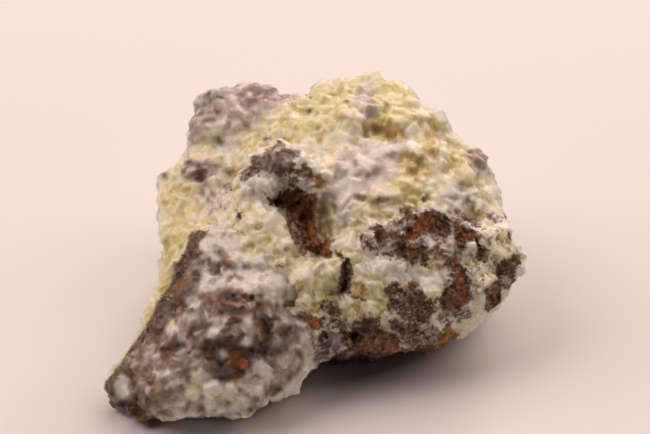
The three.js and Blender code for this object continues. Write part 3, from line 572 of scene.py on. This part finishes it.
# Single crystals that stand out in the picture, by kind: across, down and half width of each in pixels.
BLOCKS = {
    "green": [
        (486, 240, 8), (472, 247, 6), (488, 270, 9), (469, 262, 7), (492, 250, 6), (320, 270, 9),
        (304, 284, 8), (332, 284, 7), (282, 262, 7), (316, 296, 6), (478, 284, 7), (498, 240, 6)],
    "pale": [(262, 224, 9), (277, 238, 8), (254, 240, 6)],
    "yellow": [
        (326, 126, 8), (346, 112, 8), (300, 128, 7), (455, 160, 9), (464, 176, 7), (408, 100, 8),
        (424, 116, 7), (336, 90, 8), (172, 210, 9), (176, 236, 8), (168, 258, 7), (404, 196, 7),
        (358, 222, 7), (356, 254, 6), (440, 126, 6)],
    "ochre": [(412, 166, 8), (430, 142, 6), (360, 288, 6), (386, 131, 6)],
    "olive": [(437, 261, 7), (329, 214, 6), (327, 230, 5)],
    "dust": [(450, 247, 7), (505, 280, 5)],
    "milky": [
        (356, 182, 7), (346, 198, 6), (410, 132, 6), (346, 166, 6), (308, 184, 5), (343, 297, 4),
        (266, 184, 6), (250, 190, 6), (334, 246, 5), (341, 224, 5)],
    "grey": [(293, 182, 6)],
    "amber": [(319, 181, 4)],
    # Painted shade: this block is one of the low crystals at the foot, laid near black for the shadow it
    # lies in.
    "dark": [(337, 360, 5)],
}

# Patches on the sides that the picture doesn't show, by kind: how many, and their half width in millimetres.
HIDDEN = {
    "yellow": (12, 2.6), "milky": (8, 2.6), "mauve": (12, 2.6), "grey": (8, 2.6), "crust": (8, 2.2),
    "brown": (10, 1.9), "rust": (4, 0.9), "orange": (2, 0.6), "amber": (2, 0.6), "ochre": (4, 2.6),
    "dark": (4, 0.8),
}
HIDDEN_DRIFT = 1.8  # how far each spot of such a patch lies from the one before, in millimetres
HIDDEN_STRAY = 1.3

# Dents that the solids have too shallow: how much deeper in millimetres, then half width and path in pixels.
# Less than zero is a bump.
DENTS = {
    "pocket": (2.2, 12, [(296, 202), (304, 212), (308, 228)]),
    "pocket ear": (1.2, 6, [(272, 200), (284, 202)]),
    "crevice": (1.6, 5, [(346, 264), (346, 280), (342, 294)]),
    "shelf hole": (2.0, 8, [(354, 336), (356, 340)]),
    "nose pit": (1.2, 12, [(234, 346), (250, 352)]),
    "nose corner": (-1.3, 13, [(286, 297), (290, 304)]),
    "top hollow": (1.0, 10, [(370, 130), (392, 134)]),
}

# Where the outer edge of the solids is too full or too lean: the middle of that stretch, how far it moves
# across and down, and the half width of what moves, all in pixels.
NUDGES = {
    "right shoulder": ((490, 182), (-22, 5), 34),
    "right shoulder low": ((500, 203), (-9, 2), 18),
    "right upper": ((446, 130), (-9, 8), 24),
    "dome corner": ((414, 104), (1, -5), 13),
    "flank top": ((166, 184), (6, 1), 20),
    "dome top": ((345, 92), (0, -5), 18),
    "right middle": ((514, 258), (-7, 0), 18),
    "right foot": ((462, 326), (-11, -11), 36),
    "foot right of the nose": ((286, 386), (-6, -15), 28),
    "tip foot": ((138, 410), (0, -15), 18),
    "flank foot": ((168, 280), (6, 2), 24),
    "saddle": ((298, 100), (0, -8), 20),
    "dome left": ((320, 92), (-2, -5), 18),
    "right edge": ((496, 300), (-5, -4), 26),
    "left edge": ((136, 346), (5, 2), 30),
    "tip end": ((116, 398), (4, -3), 22),
    "tip front": ((164, 416), (0, 5), 14),
    "nose front": ((243, 412), (1, 3), 14),
}

# What the surface is made of, as linear colours: the darkest and the lightest of each kind. Some, such as
# dark, are also laid as painted shade.
KINDS = {
    "pale": ((0.82, 0.78, 0.52), (0.94, 0.91, 0.72)),
    "yellow": ((0.68, 0.60, 0.22), (0.84, 0.78, 0.41)),
    "white": ((0.80, 0.76, 0.66), (0.96, 0.94, 0.88)),
    "milky": ((0.71, 0.67, 0.59), (0.90, 0.86, 0.79)),
    "mauve": ((0.38, 0.32, 0.29), (0.70, 0.63, 0.58)),
    "dust": ((0.27, 0.20, 0.16), (0.60, 0.50, 0.43)),
    "grey": ((0.09, 0.068, 0.057), (0.29, 0.23, 0.20)),
    "olive": ((0.26, 0.20, 0.08), (0.52, 0.45, 0.27)),
    "ochre": ((0.46, 0.34, 0.12), (0.76, 0.63, 0.30)),
    "crust": ((0.105, 0.060, 0.037), (0.42, 0.275, 0.185)),
    "brown": ((0.042, 0.017, 0.006), (0.27, 0.12, 0.046)),
    # Near-black crust, also laid as painted shade in holes, pits, the pocket roof and at the foot.
    "dark": ((0.008, 0.004, 0.003), (0.05, 0.026, 0.017)),
    "rust": ((0.12, 0.036, 0.009), (0.42, 0.145, 0.038)),
    "orange": ((0.22, 0.062, 0.012), (0.58, 0.21, 0.045)),
    "amber": ((0.14, 0.058, 0.008), (0.50, 0.25, 0.048)),
}
NAMES = list(KINDS)
LOW = np.array([low for low, _ in KINDS.values()])
HIGH = np.array([high for _, high in KINDS.values()])
BLENDED = ("pale", "yellow", "white")  # these pass smoothly into each other
FLUORITE = (*BLENDED, "milky", "mauve", "ochre", "olive", "dust")  # the other kinds are crust

# What the grains of a patch are made of, each kind with its share. A patch of another name is all one kind.
MIXES = {
    "brown": {"brown": 58, "dark": 15, "rust": 12, "crust": 15},
    "bark": {"brown": 38, "crust": 22, "dark": 22, "grey": 18},
    "shelf": {"brown": 48, "rust": 22, "crust": 17, "amber": 13},
    "plate": {"milky": 76, "mauve": 24},
    "green": {"pale": 42, "yellow": 34, "olive": 15, "dust": 9},
    # A lilac mix of mauve, dust and grey, darker partly as painted shade on the low front of the nose.
    "lilac": {"mauve": 30, "dust": 48, "grey": 20, "milky": 2},
    "slate": {"grey": 52, "crust": 18, "brown": 20, "dark": 10},
    "nose": {"dust": 30, "crust": 30, "grey": 32, "mauve": 8},
    "crust": {"crust": 44, "brown": 14, "mauve": 17, "grey": 11, "dust": 14},
    "speckle": {"brown": 37, "crust": 25, "dust": 19, "rust": 5, "mauve": 3, "dark": 11},
    "haze": {"dust": 34, "mauve": 24, "crust": 22, "brown": 16, "grey": 4},
    "dark": {"dark": 78, "brown": 22},
    "rust": {"rust": 52, "brown": 25, "orange": 18, "dark": 5},
    "orange": {"orange": 68, "rust": 27, "amber": 5},
    "grey": {"grey": 50, "mauve": 28, "crust": 22},
    "mauve": {"mauve": 74, "milky": 26},
}


def is_kind(kind, names):
    return np.isin(kind, [NAMES.index(name) for name in names])


def gaps_to(points, spots, reach):
    """The indexes of the points within reach of the spots, and how far each is."""
    boxed = (points > spots.min(axis=0) - reach) & (points < spots.max(axis=0) + reach)
    near = np.flatnonzero(boxed.all(axis=1))
    gap = np.full(len(near), 1e9)
    for spot in spots:
        gap = np.minimum(gap, ((points[near] - spot) ** 2).sum(axis=1))
    return near, np.sqrt(gap)


def depth_inside(pixels, outline):
    """How far inside an outline each pixel is, less than zero outside."""
    inside = np.zeros(len(pixels), bool)
    gap = np.full(len(pixels), 1e9)
    corners = np.array(outline, float)
    for a, b in zip(corners, np.roll(corners, -1, axis=0)):
        side = b - a
        along = np.clip(((pixels - a) @ side) / (side @ side), 0, 1)
        gap = np.minimum(gap, ((pixels - a - along[:, None] * side) ** 2).sum(axis=1))
        level = (a[1] > pixels[:, 1]) != (b[1] > pixels[:, 1])
        crossing = a[0] + (pixels[:, 1] - a[1]) * side[0] / (side[1] or 1e-9)
        inside ^= level & (pixels[:, 0] < crossing)
    return np.where(inside, 1, -1) * np.sqrt(gap)


CALM_BEHIND = 0.4  # how calm the sides are that the picture doesn't show
COARSE_FROM = 0.62  # from this calmness on the kinds follow coarse grains
CLOSE_BEHIND = 2.5 * MM  # hidden points this near to what shows are painted as it is
ABOVE_FLOOR = 0.5 * MM  # points lower than this lie on the floor


def calmness(pixels, shown):
    """How calm the stone is at its points: 0 for sugar and 1 for broad low crystals."""
    calm = np.where(shown, 0.0, CALM_BEHIND)
    for strength, soft, outline in CALM.values():
        inside = np.clip(0.5 + 0.5 * depth_inside(pixels, outline) / soft, 0, 1)
        calm = np.where(shown, np.maximum(calm, strength * inside), calm)
    return calm


class Paint:
    """What the stone is made of at its points, with shade painted in places: the picture's patches where it
    shows, like ones behind.
    """

    def __init__(self, tree, points, normals, fine, coarse):
        self.points = points
        self.pixels = pixels_of(points)
        self.shown = self.find_shown(tree, normals)
        self.kind = np.zeros(len(points), np.int64)
        self.thick = np.zeros(len(points))
        self.calm = calmness(self.pixels, self.shown)
        self.grain = np.where(self.calm > COARSE_FROM, coarse, fine)
        drift = 0.6 * noise(points, 2.0 * MM, 51) + 0.4 * noise(points, 0.9 * MM, 52)
        self.ragged = np.clip(0.5 + 0.62 * (own_share(self.grain, 1) - 0.5) + 0.32 * drift, 0.03, 0.97)
        self.lay_patches()
        self.lay_blocks()
        self.lay_spots()
        self.lay_hidden_patches()
        self.lay_underside_crust_and_shade(normals)

    def find_shown(self, tree, normals):
        """Whether the picture shows each point; one close behind counts too, with its neighbour's pixel."""
        facing = np.flatnonzero(normals @ TO_EYE > -0.05)
        seen = facing[seen_by_camera(tree, self.points[facing])]
        neighbours = KDTree(len(seen))
        for i in seen:
            neighbours.insert(Vector(self.points[i]), int(i))
        neighbours.balance()
        shown = np.zeros(len(self.points), bool)
        shown[seen] = True
        for i in np.flatnonzero(~shown):
            _, nearest, gap = neighbours.find(Vector(self.points[i]))
            if gap < CLOSE_BEHIND:
                self.pixels[i] = self.pixels[nearest]
                shown[i] = True
        return shown

    def lay(self, mix, near, cover, inside, seed):
        """Lays a patch grain by grain; inside is -1 at its outer rim and 1 where it is full."""
        over = cover * smooth_step(0.5 + 0.5 * inside) - self.ragged[near]
        near, over = near[over > 0], over[over > 0]
        made_of = MIXES.get(mix, {mix: 1})
        shares = np.cumsum(list(made_of.values())) / sum(made_of.values())
        draw = np.searchsorted(shares, own_share(self.grain[near], 2 + seed % 7) * 0.9999)
        self.kind[near] = np.array([NAMES.index(name) for name in made_of])[draw]
        self.thick[near] = over

    def lay_patches(self):
        for name, (kind, cover, soft, outline) in PATCHES.items():
            corners = np.array(outline)
            low, high = corners.min(axis=0) - soft, corners.max(axis=0) + soft
            near = np.flatnonzero(self.shown & ((self.pixels > low) & (self.pixels < high)).all(axis=1))
            inside = depth_inside(self.pixels[near], outline)
            self.lay(kind, near, cover, inside / soft, sum(map(ord, name)))

    def lay_blocks(self):
        for kind, blocks in BLOCKS.items():
            for across, down, half in blocks:
                off = np.abs(self.pixels - [across, down]).max(axis=1)
                near = np.flatnonzero(self.shown & (off < half + 1))
                self.lay(kind, near, 0.9, (half - 1 - off[near]) / 2, 31 + across)

    def lay_spots(self):
        for name, (kind, soft, spots) in SPOTS.items():
            for across, down, half in spots:
                off = np.hypot(self.pixels[:, 0] - across, self.pixels[:, 1] - down)
                near = np.flatnonzero(self.shown & (off < half + soft))
                self.lay(kind, near, 1, (half - off[near]) / soft, sum(map(ord, name)) + across)

    def lay_hidden_patches(self):
        """Each is a row of a few spots, from a random one on in a random direction."""
        away = np.flatnonzero(~self.shown & (self.points[:, 2] > ABOVE_FLOOR))
        stops = away[:: max(1, len(away) // 15000)]
        choices = [(kind, half) for kind, (count, half) in HIDDEN.items() for _ in range(count)]
        for number, (kind, half) in enumerate(choices):
            spots = [self.points[rng.choice(stops)]]
            drift = rng.normal(size=3) * HIDDEN_DRIFT * MM
            for _ in range(rng.integers(3, 7)):
                aim = spots[-1] + drift + rng.normal(size=3) * HIDDEN_STRAY * MM
                spots.append(self.points[stops[np.argmin(((self.points[stops] - aim) ** 2).sum(axis=1))]])
            reach = half * MM * rng.uniform(0.7, 1.3)
            near, gap = gaps_to(self.points[away], np.array(spots), reach * 1.4)
            self.lay(kind, away[near], rng.uniform(0.7, 1), 1.4 - 1.6 * gap / reach, 500 + number)

    def lay_underside_crust_and_shade(self, normals):
        """Crust where the stone overhangs out of sight, dark partly as painted shade that also deepens the
        shadow beneath it.
        """
        under = (normals[:, 2] < -0.25) & (self.points[:, 2] > ABOVE_FLOOR)
        hidden = np.flatnonzero(under & ~self.shown)
        self.lay("crust", hidden, 0.95, -2.5 * normals[hidden, 2], 700)


# ---------------------------------------------------------------- meshes

# The size of a mesh's faces and its rounds of easing, for the bare stone and with its crystals.
BASE_VOXEL, BASE_EASED = 0.42 * MM, 10
VOXEL, EASED = 0.21 * MM, 2
KEPT = 0.42  # the share of the faces that is kept in the end


def arrays_of(mesh):
    """The points, normals and faces of a mesh whose faces all have as many sides."""
    points = np.empty(len(mesh.vertices) * 3)
    mesh.vertices.foreach_get("co", points)
    normals = np.empty(len(mesh.vertices) * 3)
    mesh.vertex_normals.foreach_get("vector", normals)
    faces = np.empty(len(mesh.loops), np.int64)
    mesh.loops.foreach_get("vertex_index", faces)
    sides = len(mesh.polygons[0].vertices)
    return points.reshape(-1, 3), normals.reshape(-1, 3), faces.reshape(-1, sides)


def plain_mesh(name, vertices, faces):
    mesh = bpy.data.meshes.new(name)
    mesh.vertices.add(len(vertices))
    mesh.vertices.foreach_set("co", vertices.astype(np.float32).ravel())
    mesh.loops.add(faces.size)
    mesh.loops.foreach_set("vertex_index", faces.astype(np.int32).ravel())
    mesh.polygons.add(len(faces))
    mesh.polygons.foreach_set("loop_start", np.arange(len(faces), dtype=np.int32) * faces.shape[1])
    mesh.update(calc_edges=True)
    return mesh


def remeshed(mesh, voxel, eased, kept=1):
    """The outer surface of a mesh in small even faces, eased in steps, with fewer faces where it is flat."""
    piece = bpy.data.objects.new("stone", mesh)
    bpy.context.scene.collection.objects.link(piece)
    remesh = piece.modifiers.new("remesh", "REMESH")
    remesh.mode = "VOXEL"
    remesh.voxel_size = voxel
    smooth = piece.modifiers.new("smooth", "SMOOTH")
    smooth.factor = 0.5
    smooth.iterations = eased
    if kept < 1:
        fewer = piece.modifiers.new("fewer", "DECIMATE")
        fewer.ratio = kept
        fewer.use_collapse_triangulate = True
    graph = bpy.context.evaluated_depsgraph_get()
    dense = bpy.data.meshes.new_from_object(piece.evaluated_get(graph))
    bpy.data.objects.remove(piece)
    return arrays_of(dense)


def joined_mesh(name, sets):
    """One mesh of several sets of vertices and faces."""
    starts = np.cumsum([0] + [len(vertices) for vertices, _ in sets])
    vertices = np.concatenate([vertices for vertices, _ in sets])
    faces = np.concatenate([faces + start for (_, faces), start in zip(sets, starts)])
    return plain_mesh(name, vertices, faces)


def tree_of(points, faces):
    return BVHTree.FromPolygons(points.tolist(), faces.tolist())


def averaged(values, faces, rounds):
    """Values at the points, each round averaged with those of the faces round them."""
    shares = np.bincount(faces.ravel(), minlength=len(values))[:, None]
    for _ in range(rounds):
        middles = values[faces].mean(axis=1)
        summed = [np.bincount(faces.ravel(), np.repeat(m, faces.shape[1]), len(values)) for m in middles.T]
        values = np.stack(summed, axis=1) / shares
    return values


# Mosaics of tilted flat facets: spacing, how much they lean, how far they step up and down, and a seed.
BIG = (4.6 * MM, 0.16, 0.14 * MM, 3)
MIDDLING = (2.3 * MM, 0.20, 0.08 * MM, 13)
SMALL = (1.0 * MM, 0.25, 0.05 * MM, 23)
TINY = (0.50 * MM, 0.36, 0.07 * MM, 43)
COARSE = (1.5 * MM, 0.3, 0, 63)


def facets(points, spacing, lean, step, seed):
    """A mosaic's height at each point, and the own number, from 0 to 1, of the facet that it lies in."""
    q = points / spacing
    cells = np.floor(q).astype(np.int64)
    nearest = np.full(len(points), 1e9)
    height = np.zeros(len(points))
    owner = np.zeros(len(points))
    for corner in range(27):
        cell = cells + [corner % 3 - 1, corner // 3 % 3 - 1, corner // 9 - 1]
        ix, iy, iz = cell.T
        spread = np.stack([hashed(ix, iy, iz, seed + k) for k in range(3)], axis=1)
        away = q - cell - spread
        gap = (away**2).sum(axis=1)
        slope = np.stack([hashed(ix, iy, iz, seed + 3 + k) - 0.5 for k in range(3)], axis=1)
        tall = (hashed(ix, iy, iz, seed + 6) - 0.5) * 2 * step
        tall = tall + (away * slope).sum(axis=1) * 2 * lean * spacing
        closer = gap < nearest
        height = np.where(closer, tall, height)
        owner = np.where(closer, hashed(ix, iy, iz, seed + 7), owner)
        nearest = np.where(closer, gap, nearest)
    return height, owner


# ---------------------------------------------------------------- the body

NEAR_FLOOR = 6 * MM  # an outer edge lower than this slides along the floor
SEAT = 0.1 * MM  # the lowest part stays as flat as it is
SEAT_RISE = 1.2 * MM  # above it the facets set in over this height
SUNK = 0.10 * MM  # how far the mosaics lie below the bare surface


def landed(tree, path, step=1.5):
    """The points on the stone that a path of pixels falls on."""
    hits = []
    for (x0, y0), (x1, y1) in zip(path, path[1:]):
        steps = max(1, round(math.hypot(x1 - x0, y1 - y0) / step))
        for i in range(steps + 1):
            ray = ray_through(x0 + (x1 - x0) * i / steps, y0 + (y1 - y0) * i / steps)
            hits.append(tree.ray_cast(EYE, ray)[0])
    return np.array([tuple(hit) for hit in hits if hit is not None]).reshape(-1, 3)


def push_dents(tree, points, normals):
    for depth, half, path in DENTS.values():
        near, gap = gaps_to(points, landed(tree, path), half * PIXEL)
        inward = 0.6 * normals[near] + 0.4 * TO_EYE
        points[near] -= inward * (depth * MM * smooth_step(1 - gap / (half * PIXEL)))[:, None]


def nudge_edges(tree, points):
    for (across, down), (aside, below), half in NUDGES.values():
        hit = tree.ray_cast(EYE, ray_through(across, down))[0]
        near, gap = gaps_to(points, np.array([hit]), half * PIXEL)
        downward = Vector((0, -1 / math.sin(ELEVATION), 0)) if hit.z < NEAR_FLOOR else -UP
        way = (RIGHT * aside + downward * below) * PIXEL
        points[near] += np.array(way) * smooth_step(1 - gap / (half * PIXEL))[:, None]


def keep_above_floor(points):
    points[:, 2] = np.maximum(points[:, 2], 0)


add_camera()
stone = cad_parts["fluorite_stone"].data.copy()
stone.materials.clear()
points, normals, faces = remeshed(stone, BASE_VOXEL, BASE_EASED)
tree = tree_of(points, faces)
push_dents(tree, points, normals)
nudge_edges(tree, points)
keep_above_floor(points)
tree = tree_of(points, faces)
all_one_grain = np.zeros(len(points))
paint = Paint(tree, points, normals, all_one_grain, all_one_grain)
calm = paint.calm
on_crust = ~is_kind(paint.kind, FLUORITE)
big, id_big = facets(points, *BIG)
middling, _ = facets(points, *MIDDLING)
off_floor = np.clip((points[:, 2] - SEAT) / SEAT_RISE, 0, 1)
inner = np.abs(normals @ TO_EYE) > 0.3  # not at the outline that the camera sees
points = points + normals * (off_floor * (big + middling - SUNK))[:, None]
keep_above_floor(points)

# ---------------------------------------------------------------- grown crystals

MANY_SMALL = 2.2  # more than 1 for more small crystals than large ones
CORNERS = np.array([(i & 1, i >> 1 & 1, i >> 2) for i in range(8)]) * 2.0 - 1
SIDES = np.array([(0, 2, 3, 1), (4, 5, 7, 6), (0, 1, 5, 4), (2, 6, 7, 3), (0, 4, 6, 2), (1, 3, 7, 5)])


def turns(quaternions):
    """The turning matrix of each quaternion."""
    w, x, y, z = (quaternions / np.linalg.norm(quaternions, axis=1)[:, None]).T
    rows = [
        [1 - 2 * (y * y + z * z), 2 * (x * y - w * z), 2 * (x * z + w * y)],
        [2 * (x * y + w * z), 1 - 2 * (x * x + z * z), 2 * (y * z - w * x)],
        [2 * (x * z - w * y), 2 * (y * z + w * x), 1 - 2 * (x * x + y * y)],
    ]
    return np.array(rows).transpose(2, 0, 1)


def cubes_at(places, domains, half, parallel, skew):
    """Skewed cubes round the places, as vertices and faces: those of one domain lie nearly parallel."""
    count = len(places)
    shared = np.stack([own_share(domains, 20 + k) - 0.5 for k in range(4)], axis=1)
    free = rng.normal(size=(count, 4)) * 0.6
    loose = rng.random(count) > parallel
    quaternions = np.where(loose[:, None], free, shared + 0.10 * free)
    shape = np.eye(3) + skew * (rng.random((count, 3, 3)) - 0.5)
    shape *= rng.uniform(0.65, 1.25, (count, 1, 3))
    shape = turns(quaternions) @ shape * half[:, None, None]
    vertices = places[:, None, :] + CORNERS @ shape.transpose(0, 2, 1)
    vertices[:, :, 2] = np.maximum(vertices[:, :, 2], 0)
    faces = SIDES[None] + 8 * np.arange(count)[:, None, None]
    return vertices.reshape(-1, 3), faces.reshape(-1, 4)


def single_crystals():
    """The cubes of BLOCKS, sunk most of the way into the stone where the camera sees them."""
    places, half = [], []
    for blocks in BLOCKS.values():
        for across, down, width in blocks:
            hit, normal, _, _ = tree.ray_cast(EYE, ray_through(across, down))
            if hit is not None:
                half.append(0.85 * width * PIXEL)
                places.append(np.array(hit) - np.array(normal) * 0.70 * half[-1])
    return cubes_at(np.array(places), rng.random(len(places)), np.array(half), 1, 0.3)


def crystals(likely, count, least, most, stand, parallel, skew):
    """Cubes at random places, more of them where they are likely.

    least and most are half widths in millimetres. stand is how far out of the stone the middle of each lies,
    as a share of its half width.
    """
    likely = likely * (off_floor > 0.9)
    chosen = rng.choice(len(points), count, p=likely / likely.sum())
    half = (least + (most - least) * rng.random(count) ** MANY_SMALL) * MM
    places = points[chosen] + normals[chosen] * (half * stand)[:, None]
    return cubes_at(places, id_big[chosen], half, parallel, skew)


broad_here = ~on_crust * inner * np.where(calm > 0.9, 0.2, 0.25 + calm)
middling_here = ~on_crust * (0.3 + 0.7 * inner) * (1.1 - calm)
sugar_here = ~on_crust * (1.02 - calm)
grains_here = on_crust * (1 - 0.8 * calm)
rough = joined_mesh("rough", [
    single_crystals(),
    (points, faces),
    crystals(broad_here, 2800, least=0.60, most=1.70, stand=-0.86, parallel=0.9, skew=0.3),
    crystals(middling_here, 6000, least=0.28, most=0.90, stand=-0.62, parallel=0.7, skew=0.3),
    crystals(sugar_here, 30000, least=0.16, most=0.36, stand=-0.25, parallel=0.5, skew=0.3),
    crystals(grains_here, 16000, least=0.14, most=0.36, stand=-0.10, parallel=0.3, skew=0.5),
    crystals(on_crust, 1500, least=0.30, most=0.70, stand=-0.50, parallel=0.3, skew=0.4),
])
points, normals, faces = remeshed(rough, VOXEL, EASED, KEPT)

# ---------------------------------------------------------------- kinds and colours of the grown surface

# How far each point stands out of its near and its less near surroundings, in millimetres.
keen = ((points - averaged(points, faces, 3)) * normals).sum(axis=1) / MM
broad = ((points - averaged(points, faces, 12)) * normals).sum(axis=1) / MM
proud = np.clip(keen / 0.06, -1, 1) + np.clip(broad / 0.20, -1, 1)
_, id_middling = facets(points, *MIDDLING)
_, id_small = facets(points, *SMALL)
_, id_tiny = facets(points, *TINY)
_, id_coarse = facets(points, *COARSE)
paint = Paint(tree_of(points, faces), points, normals, id_tiny, id_coarse)
kind = paint.kind
calm = paint.calm
is_crust = ~is_kind(kind, FLUORITE)
melted = np.where(is_crust, 0.70 * calm, 0.06 + 0.74 * calm)[:, None]
points = points + (averaged(points, faces, 8) - points) * melted
keep_above_floor(points)


def yellowness():
    """From 0 for white over pale to 1 for yellow, in swells and crystal by crystal."""
    swell = layered(points, 9 * MM, 31)
    crystal = id_middling - 0.5
    grain = id_small - 0.5
    usual = 0.45 + 0.75 * swell - 0.13 * proud + 0.50 * crystal + 0.20 * grain
    strong = 0.76 + 0.3 * swell - 0.12 * proud + 0.4 * crystal + 0.2 * grain
    chosen = np.clip(np.where(is_kind(kind, ["yellow"]), strong, usual), 0, 1)
    return np.where(is_kind(kind, ["white"]), 0.08, chosen)[:, None]


def lightness():
    """From 0 for the darkest tint of a kind to 1 for its lightest."""
    on_fluorite = 0.55 + 0.16 * proud + 0.30 * (id_small - 0.5)
    speckles = 0.5 * layered(points, 1.1 * MM, 97) + 0.85 * (own_share(id_tiny, 11) - 0.5)
    crusted = 0.66 - 0.55 * paint.thick + speckles
    return np.clip(np.where(is_crust, crusted, on_fluorite), 0, 1)[:, None]


def tints():
    """The colours at the points, evened out where the stone is calm."""
    light = lightness()
    pale, yellow, white = [LOW[i] * (1 - light) + HIGH[i] * light for i in map(NAMES.index, BLENDED)]
    share = 2 * yellowness()
    blended = np.where(share > 1, pale + (yellow - pale) * (share - 1), white + (pale - white) * share)
    own = LOW[kind] * (1 - light) + HIGH[kind] * light
    colours = np.where(is_kind(kind, BLENDED)[:, None], blended, own)
    return colours + (averaged(colours, faces, 4) - colours) * (0.05 + 0.88 * calm)[:, None]


colours = tints()

# ---------------------------------------------------------------- pieces and their looks

FLUORITE_IOR = 1.434
FINE_GRAIN = 2600  # swells in a metre
FINE_SHADE = (0.88, 1.10)  # how much darker and lighter the fine grain makes a tint


def part_of(name, chosen):
    """A piece of the faces chosen from the whole surface, smooth where it is calm."""
    used, own_faces = np.unique(faces[chosen], return_inverse=True)
    mesh = plain_mesh(name, points[used], own_faces.reshape(-1, 3))
    mesh.polygons.foreach_set("use_smooth", calm[faces[chosen]].mean(axis=1) > 0.5)
    rgba = np.ones((len(used), 4), np.float32)
    rgba[:, :3] = colours[used].clip(0, 1)
    mesh.attributes.new("tint", "FLOAT_COLOR", "POINT").data.foreach_set("color", rgba.ravel())
    piece = bpy.data.objects.new(name, mesh)
    bpy.context.scene.collection.objects.link(piece)
    return piece


def grained_look(name, roughness):
    """A material with the mesh's own tints under a fine grain, and its shader."""
    look = bpy.data.materials.new(name)
    look.use_nodes = True
    nodes, links = look.node_tree.nodes, look.node_tree.links
    shader = nodes["Principled BSDF"]
    tint = nodes.new("ShaderNodeAttribute")
    tint.attribute_name = "tint"
    place = nodes.new("ShaderNodeTexCoord")
    fine = nodes.new("ShaderNodeTexNoise")
    fine.inputs["Scale"].default_value = FINE_GRAIN
    fine.inputs["Detail"].default_value = 4
    links.new(place.outputs["Object"], fine.inputs["Vector"])
    shade = nodes.new("ShaderNodeMapRange")
    shade.inputs["From Min"].default_value = 0.3
    shade.inputs["From Max"].default_value = 0.7
    shade.inputs["To Min"].default_value = FINE_SHADE[0]
    shade.inputs["To Max"].default_value = FINE_SHADE[1]
    links.new(fine.outputs["Fac"], shade.inputs["Value"])
    mix = nodes.new("ShaderNodeMix")
    mix.data_type = "RGBA"
    mix.blend_type = "MULTIPLY"
    mix.inputs["Factor"].default_value = 1
    links.new(tint.outputs["Color"], mix.inputs["A"])
    links.new(shade.outputs["Result"], mix.inputs["B"])
    links.new(mix.outputs["Result"], shader.inputs["Base Color"])
    shader.inputs["IOR"].default_value = FLUORITE_IOR
    shader.inputs["Roughness"].default_value = roughness
    return look, shader


def fluorite_look():
    """Cloudy crystal, which light enters by about 2 mm."""
    look, shader = grained_look("fluorite", 0.32)
    shader.inputs["Specular IOR Level"].default_value = 0.4
    shader.inputs["Subsurface Weight"].default_value = 1
    shader.inputs["Subsurface Radius"].default_value = (1.0, 0.85, 0.55)
    shader.inputs["Subsurface Scale"].default_value = 1.9 * MM
    return look


def crust_look():
    """Dull crust that no light enters."""
    look, _ = grained_look("crust", 0.45)
    return look


def finish_piece(piece, look):
    piece.data.materials.append(look)
    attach(piece, "root")
    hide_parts("fluorite_stone")


crust_faces = is_crust[faces].sum(axis=1) >= 2
front_faces = (normals[faces].mean(axis=1) @ TO_EYE) > -0.02
fluorite = fluorite_look()
finish_piece(part_of("fluorite_front", ~crust_faces & front_faces), fluorite)
finish_piece(part_of("fluorite_back", ~crust_faces & ~front_faces), fluorite)
finish_piece(part_of("crust", crust_faces), crust_look())

# ---------------------------------------------------------------- floor and light

FLOOR_SIDE = 3.0
FLOOR_COLOUR = (0.86, 0.85, 0.84)
SKY_COLOUR = (0.5, 0.62, 1.0)
SKY_STRENGTH = 0.018
LAMP_COLOUR = (1.0, 0.80, 0.735)
LAMP_DISTANCE = 0.9

# Round lamps: azimuth from +X towards +Y and elevation in degrees, then width in metres and watts.
LAMPS = {
    "window": (70, 24, 0.45, 2.8),
    "back": (90, 62, 0.7, 2.7),
    "left": (172, 48, 0.8, 4.9),
    "right": (18, 45, 0.8, 3.3),
}


def add_floor():
    mesh = bpy.data.meshes.new("floor")
    side = FLOOR_SIDE / 2
    corners = [(-side, -side, 0), (side, -side, 0), (side, side, 0), (-side, side, 0)]
    mesh.from_pydata(corners, [], [(0, 1, 2, 3)])
    floor = bpy.data.objects.new("floor", mesh)
    bpy.context.scene.collection.objects.link(floor)
    look = bpy.data.materials.new("floor")
    look.use_nodes = True
    shader = look.node_tree.nodes["Principled BSDF"]
    shader.inputs["Base Color"].default_value = (*FLOOR_COLOUR, 1)
    shader.inputs["Roughness"].default_value = 0.8
    shader.inputs["Specular IOR Level"].default_value = 0.2
    mesh.materials.append(look)


def add_lamp(name, azimuth, elevation, width, watts):
    light = bpy.data.lights.new(name, "AREA")
    light.shape = "DISK"
    light.size = width
    light.energy = watts
    light.color = LAMP_COLOUR
    lamp = bpy.data.objects.new(name, light)
    bpy.context.scene.collection.objects.link(lamp)
    around, up = math.radians(azimuth), math.radians(elevation)
    way = Vector((math.cos(up) * math.cos(around), math.cos(up) * math.sin(around), math.sin(up)))
    lamp.location = way * LAMP_DISTANCE
    lamp.rotation_euler = way.to_track_quat("Z", "Y").to_euler()


def add_sky():
    world = bpy.data.worlds.new("sky")
    world.use_nodes = True
    background = world.node_tree.nodes["Background"]
    background.inputs["Color"].default_value = (*SKY_COLOUR, 1)
    background.inputs["Strength"].default_value = SKY_STRENGTH
    bpy.context.scene.world = world


add_floor()
add_sky()
for name, lamp in LAMPS.items():
    add_lamp(name, *lamp)
bpy.context.scene.view_settings.view_transform = "Standard"
